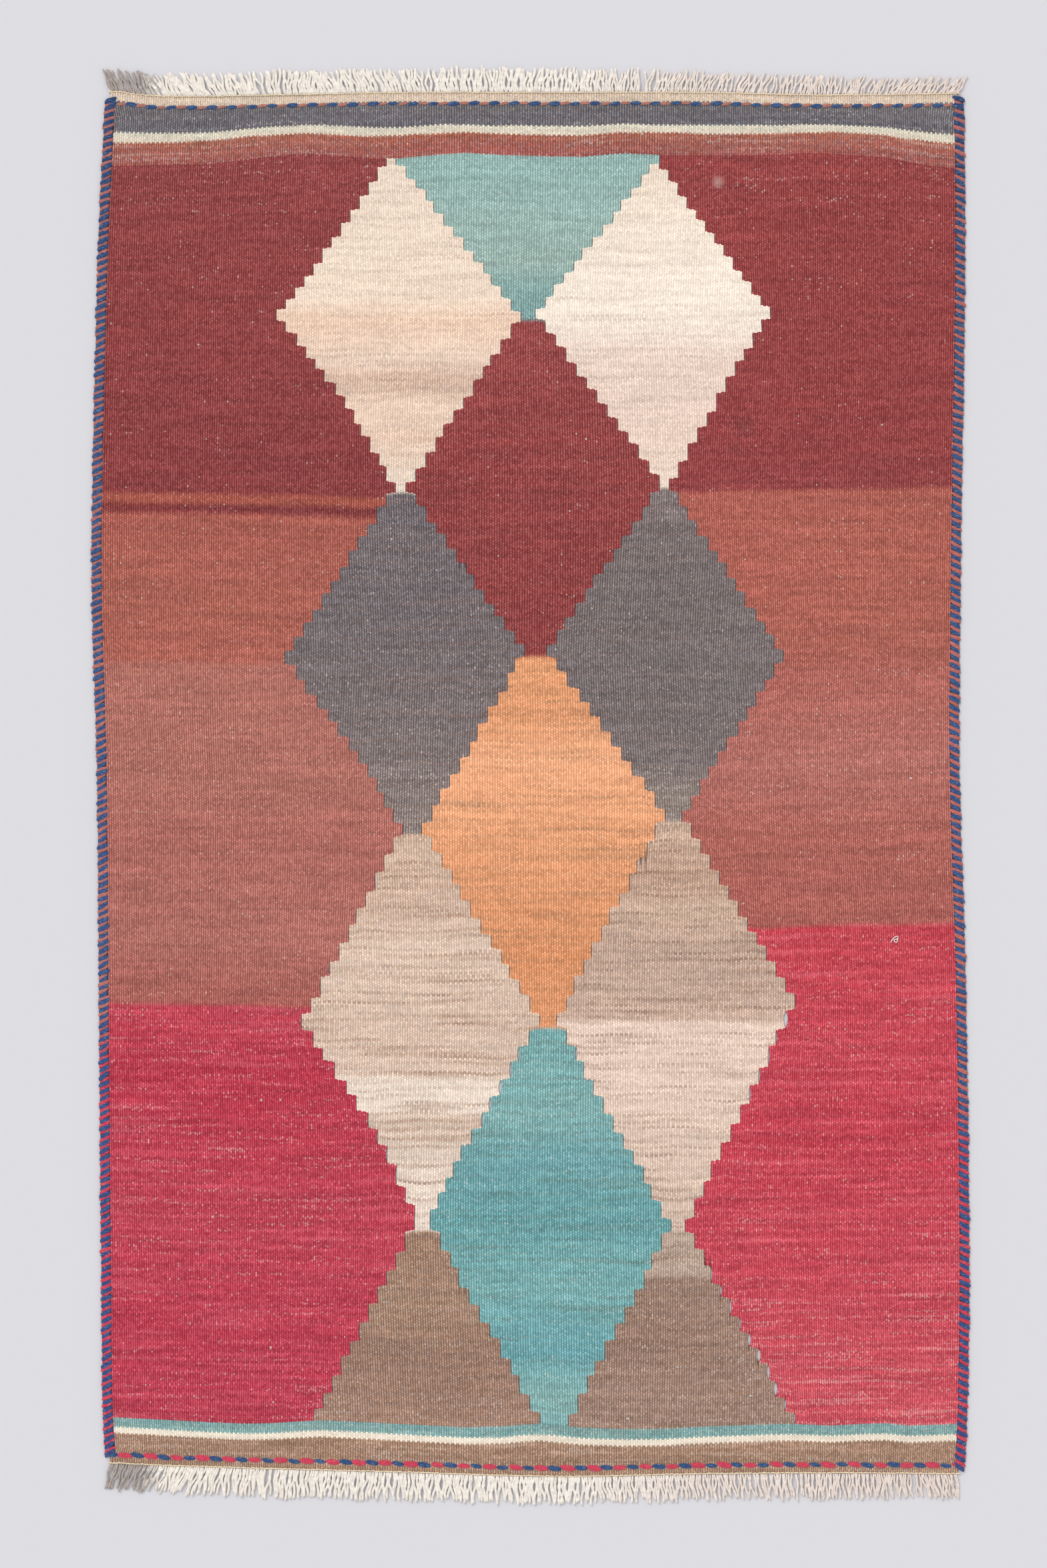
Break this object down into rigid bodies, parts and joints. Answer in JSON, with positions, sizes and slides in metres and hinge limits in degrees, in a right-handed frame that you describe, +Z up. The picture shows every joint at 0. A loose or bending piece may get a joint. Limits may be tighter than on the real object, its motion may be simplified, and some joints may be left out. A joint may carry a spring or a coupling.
{
  "type": "kilim rug",
  "caption": "Small flat-woven wool kilim lying flat, with stepped diamonds, plain bands, overcast side cords and a short cut fringe at both ends.",
  "frame": {"origin": "on the floor, under the centre of the rug's box, fringes included", "axes": "+Y along the length, towards the end with the wide grey band; +X across the width, to the right when that end is furthest; +Z up through the thickness"},
  "size_m": [1.012, 1.6534, 0.0044],
  "materials": {
    "wool_cloth": "matt weft-faced wool, ribbed",
    "wool_cord": "matt overcast wool yarn in two colours",
    "cotton_warp": "matt plied off-white warp ends"
  },
  "bodies": {
    "root": {"woven_cloth": "wool_cloth", "selvedge_left": "wool_cord", "selvedge_right": "wool_cord", "fringe_top": "cotton_warp", "fringe_bottom": "cotton_warp"}
  },
  "joints": []
}
